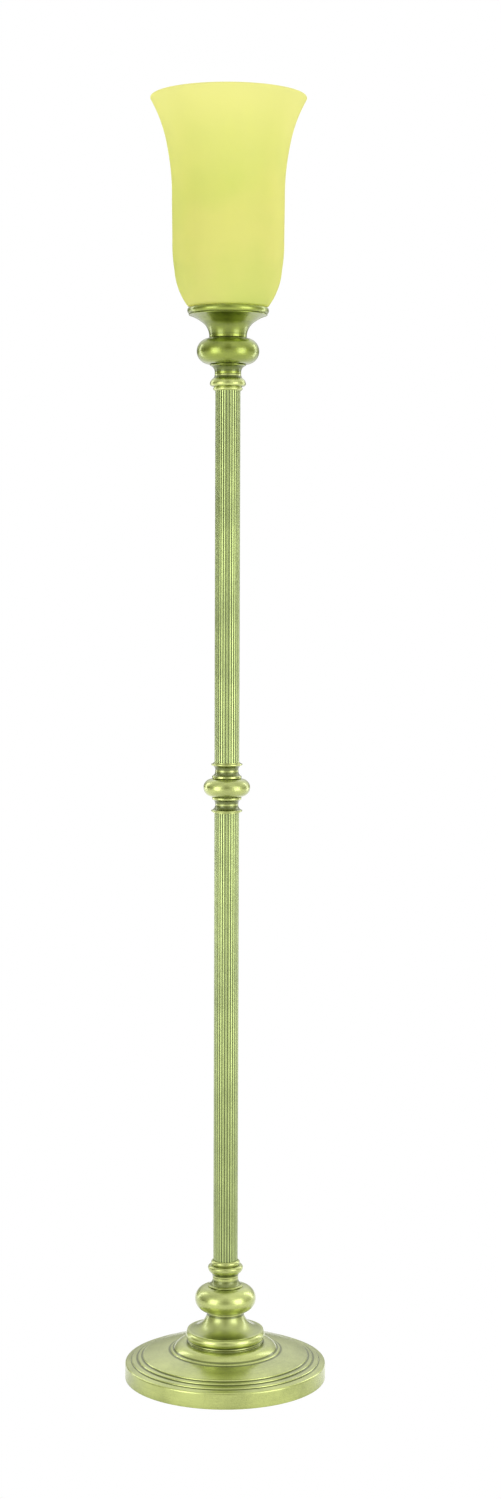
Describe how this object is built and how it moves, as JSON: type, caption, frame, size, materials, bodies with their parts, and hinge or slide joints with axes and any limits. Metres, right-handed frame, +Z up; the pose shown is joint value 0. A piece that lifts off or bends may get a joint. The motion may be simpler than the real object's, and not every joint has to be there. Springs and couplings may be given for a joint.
{
  "type": "torchiere floor lamp",
  "caption": "Brass torchiere floor lamp: round stepped base, reeded columns joined by turned spools and cushion balls, and a frosted glass bell shade open at the top.",
  "frame": {"origin": "centre of the felt pad's underside, on the floor, on the lamp's axis", "axes": "+Z up along the column; +X towards the switch key; +Y towards the cord inlet at the rear of the base"},
  "size_m": [0.26, 0.26, 1.6389],
  "materials": {
    "antique_brass": "satin",
    "socket_brass": "satin",
    "cast_iron": "matte",
    "zinc_steel": "satin",
    "black_phenolic": "satin",
    "fibre_board": "matte",
    "felt": "matte",
    "frosted_glass": "satin",
    "bulb_glass": "satin",
    "aluminium": "satin",
    "solder": "satin",
    "black_wire": "satin",
    "white_wire": "satin"
  },
  "bodies": {
    "lamp": {"felt_pad": "felt", "base_shell": "antique_brass", "base_weight": "cast_iron", "cord_bushing": "black_phenolic", "base_washer": "zinc_steel", "base_lock_washer": "zinc_steel", "base_hex_nut": "zinc_steel", "base_collar": "antique_brass", "base_bell": "antique_brass", "base_ball": "antique_brass", "lower_flare": "antique_brass", "lower_cup": "antique_brass", "lower_lip_ring": "antique_brass", "middle_lower_spool": "antique_brass", "middle_ball": "antique_brass", "middle_upper_spool": "antique_brass", "top_lip_ring": "antique_brass", "top_cup": "antique_brass", "top_flare": "antique_brass", "top_ball": "antique_brass", "lower_column": "antique_brass", "lower_check_ring_bottom": "zinc_steel", "lower_check_ring_top": "zinc_steel", "upper_column": "antique_brass", "upper_check_ring_bottom": "zinc_steel", "upper_check_ring_top": "zinc_steel", "lower_pipe": "zinc_steel", "upper_pipe": "zinc_steel", "pipe_coupling": "zinc_steel", "shade_holder": "antique_brass", "shade_ring": "antique_brass", "seat_plate": "antique_brass", "shade_gasket": "fibre_board", "holder_washer": "zinc_steel", "holder_hex_nut": "zinc_steel", "socket_cap": "socket_brass", "socket_set_screw": "zinc_steel", "socket_shell": "socket_brass", "socket_liner": "fibre_board", "socket_body": "black_phenolic", "socket_screw_shell": "aluminium", "socket_contact": "socket_brass", "terminal_screw_live": "socket_brass", "terminal_screw_neutral": "zinc_steel", "lead_live": "black_wire", "lead_neutral": "white_wire", "splice_live": "black_phenolic", "splice_neutral": "black_phenolic"},
    "shade": {"glass_shade": "frosted_glass"},
    "bulb": {"bulb_contact": "solder", "bulb_cap": "aluminium", "bulb_envelope": "bulb_glass"},
    "key": {"switch_key": "black_phenolic"}
  },
  "joints": [
    {"name": "shade_lift", "type": "slide", "parent": "lamp", "child": "shade", "axis": [0, 0, 1], "range_m": [0, 0.16]},
    {"name": "bulb_lift", "type": "slide", "parent": "lamp", "child": "bulb", "axis": [0, 0, 1], "range_m": [0, 0.05]},
    {"name": "switch_turn", "type": "hinge", "parent": "lamp", "child": "key", "pos_m": [0.02, 0, 1.4049], "axis": [1, 0, 0], "continuous": true}
  ]
}
